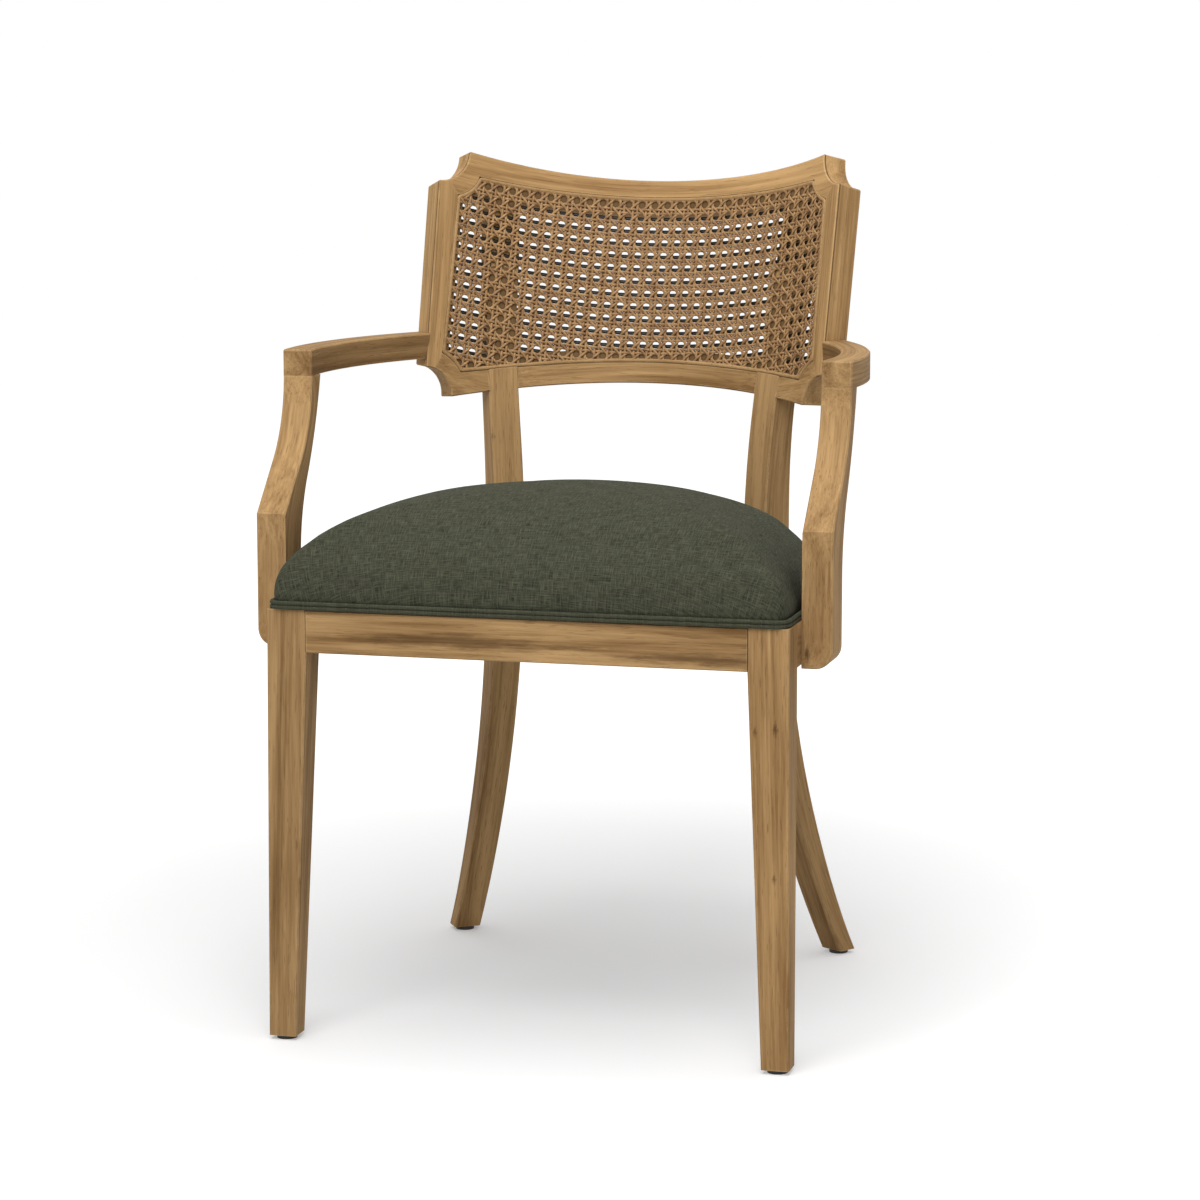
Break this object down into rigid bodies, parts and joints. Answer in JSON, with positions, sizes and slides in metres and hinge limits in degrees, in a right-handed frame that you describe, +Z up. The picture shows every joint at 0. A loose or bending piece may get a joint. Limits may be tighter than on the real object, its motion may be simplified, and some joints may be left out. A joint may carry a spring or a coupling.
{
  "type": "dining armchair",
  "caption": "Dining armchair with sabre rear legs, a hollow cane back in a notched frame, bowed arms on swept posts and a crowned upholstered seat.",
  "frame": {"origin": "on the floor under the middle of the chair's outline", "axes": "+Z up, the chair faces -Y, +X to the viewer's right when looking at its front"},
  "size_m": [0.552, 0.5445, 0.8145],
  "materials": {
    "wood": "matt weathered light brown",
    "cane": "natural woven cane and reed",
    "seat_cloth": "dark olive slubbed linen weave",
    "foam": "seat foam",
    "plywood": "plain plywood",
    "dust_cloth": "black non-woven cloth",
    "glide": "black",
    "steel": "zinc plated"
  },
  "bodies": {
    "root": {"arm_back_dowels": "wood", "arm_left": "wood", "arm_post_bolts": "steel", "arm_post_dowels": "wood", "arm_post_left": "wood", "arm_post_right": "wood", "arm_right": "wood", "back_end_stile_left": "wood", "back_end_stile_right": "wood", "back_frame_dowels": "wood", "back_lower_end_left": "wood", "back_lower_end_right": "wood", "back_lower_rail": "wood", "back_top_rail": "wood", "cane_panel": "cane", "cane_spline": "cane", "corner_block_front_left": "wood", "corner_block_front_right": "wood", "corner_block_rear_left": "wood", "corner_block_rear_right": "wood", "corner_block_screws": "steel", "dust_cover": "dust_cloth", "foot_glides": "glide", "front_leg_left": "wood", "front_leg_right": "wood", "front_rail": "wood", "glide_nails": "steel", "rail_dowels": "wood", "rear_leg_left": "wood", "rear_leg_right": "wood", "rear_rail": "wood", "seat_cover": "seat_cloth", "seat_deck": "plywood", "seat_foam": "foam", "seat_screws": "steel", "seat_welt": "seat_cloth", "side_rail_left": "wood", "side_rail_right": "wood"}
  },
  "joints": []
}
